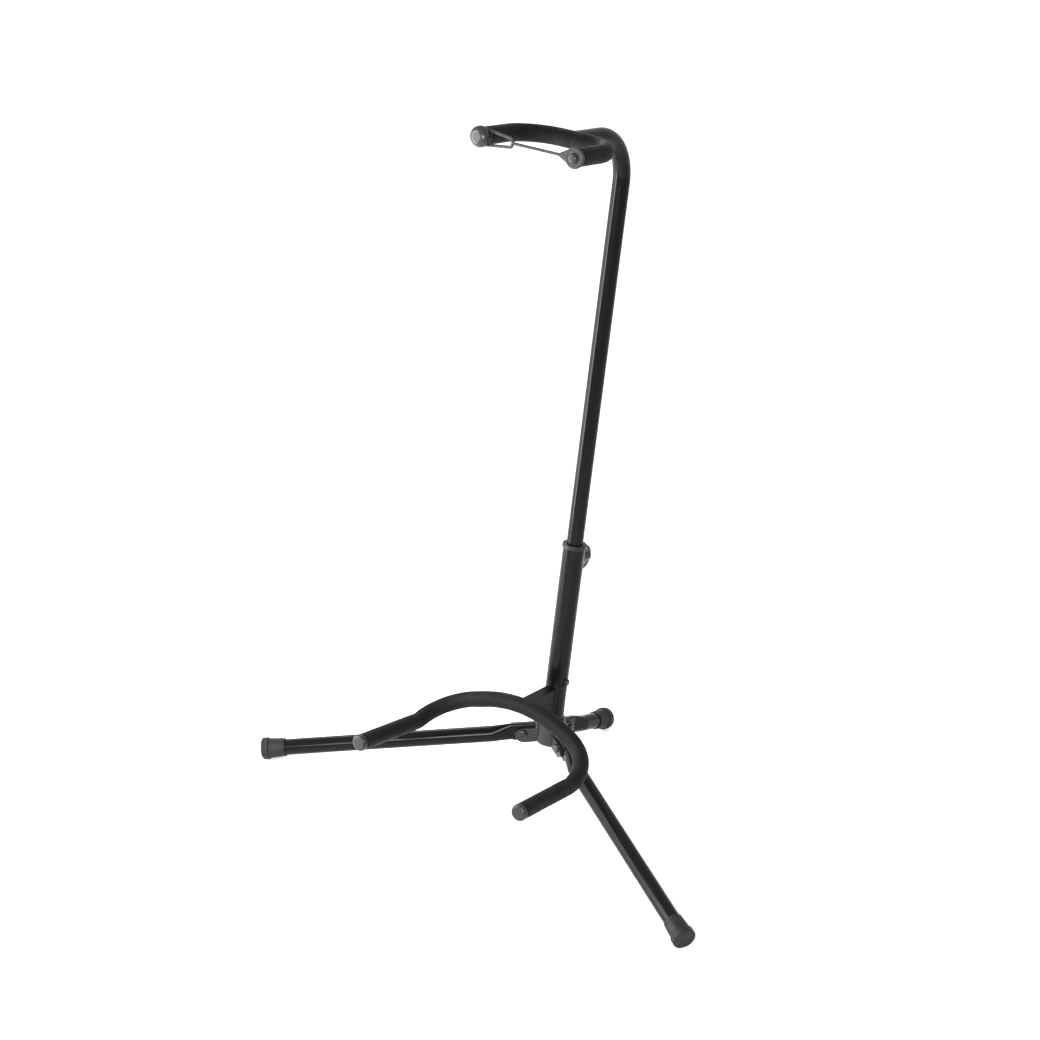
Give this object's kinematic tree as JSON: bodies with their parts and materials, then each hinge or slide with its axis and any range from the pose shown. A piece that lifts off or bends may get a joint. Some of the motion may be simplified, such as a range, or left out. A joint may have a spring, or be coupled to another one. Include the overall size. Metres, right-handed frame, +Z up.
{
  "type": "guitar stand",
  "caption": "Tubular tripod guitar stand with folding legs, a telescoping mast, a padded body cradle and a padded neck yoke with a strap.",
  "frame": {"origin": "on the floor at the centre of the stand's outline seen from above", "axes": "+Z up, the guitar faces -Y (front), +X to the right for somebody who faces the stand"},
  "size_m": [0.5966, 0.3475, 0.7851],
  "materials": {
    "black_paint": "satin black enamel",
    "steel_dark": "blackened rivet steel",
    "foam": "matt closed-cell foam",
    "rubber_foot": "matt moulded rubber",
    "plastic_black": "fine moulded texture",
    "plastic_gloss": "moulded end knobs, slight gloss",
    "strap_rubber": "soft moulded rubber"
  },
  "bodies": {
    "base": {"lower_tube": "black_paint", "hub": "black_paint", "mast_rivet": "steel_dark", "leg_rivet_left": "steel_dark", "leg_rivet_right": "steel_dark", "leg_rivet_rear": "steel_dark", "cradle_bracket": "black_paint", "cradle_tube": "black_paint", "cradle_sleeve_left": "foam", "cradle_sleeve_right": "foam", "cradle_cap_left": "plastic_gloss", "cradle_cap_right": "plastic_gloss", "collar_bush": "plastic_black", "clamp_nut": "black_paint"},
    "leg_left": {"leg_left": "black_paint", "foot_left": "rubber_foot"},
    "leg_right": {"leg_right": "black_paint", "foot_right": "rubber_foot"},
    "leg_rear": {"leg_rear": "black_paint", "foot_rear": "rubber_foot"},
    "mast_slide": {"tube_guide": "plastic_black"},
    "mast_top": {"upper_tube": "black_paint", "yoke_tube": "black_paint", "yoke_sleeve_left": "foam", "yoke_sleeve_right": "foam", "yoke_knob_left": "plastic_gloss", "yoke_button_right": "plastic_gloss", "neck_strap": "strap_rubber"},
    "clamp_screw": {"clamp_screw": "steel_dark"},
    "clamp_knob": {"clamp_knob": "plastic_black"}
  },
  "joints": [
    {"name": "leg_left_fold", "type": "hinge", "parent": "base", "child": "leg_left", "pos_m": [-0.02743, 0.02619, 0.05565], "axis": [0.5105, -0.8599, 0], "range_deg": [0, 76]},
    {"name": "leg_right_fold", "type": "hinge", "parent": "base", "child": "leg_right", "pos_m": [0.02743, 0.02619, 0.05565], "axis": [0.5105, 0.8599, 0], "range_deg": [0, 76]},
    {"name": "leg_rear_fold", "type": "hinge", "parent": "base", "child": "leg_rear", "pos_m": [0, 0.07263, 0.04779], "axis": [-1, 0, 0], "range_deg": [0, 78]},
    {"name": "mast_height", "type": "slide", "parent": "base", "child": "mast_slide", "axis": [0, 0.1891, 0.982], "range_m": [-0.07, 0.045]},
    {"name": "mast_swivel", "type": "hinge", "parent": "mast_slide", "child": "mast_top", "pos_m": [0, 0.07122, 0.20786], "axis": [0, 0.1891, 0.982], "range_deg": [-180, 180]},
    {"name": "clamp_travel", "type": "slide", "parent": "base", "child": "clamp_screw", "axis": [0, 0.982, -0.1891], "range_m": [0, 0.002]},
    {"name": "clamp_turn", "type": "hinge", "parent": "clamp_screw", "child": "clamp_knob", "pos_m": [0, 0.10005, 0.26239], "axis": [0, 0.982, -0.1891], "range_deg": [0, 720]}
  ],
  "couplings": [
    {"joint": "clamp_turn", "follows": "clamp_travel", "rad_per_m": 6283.2}
  ]
}
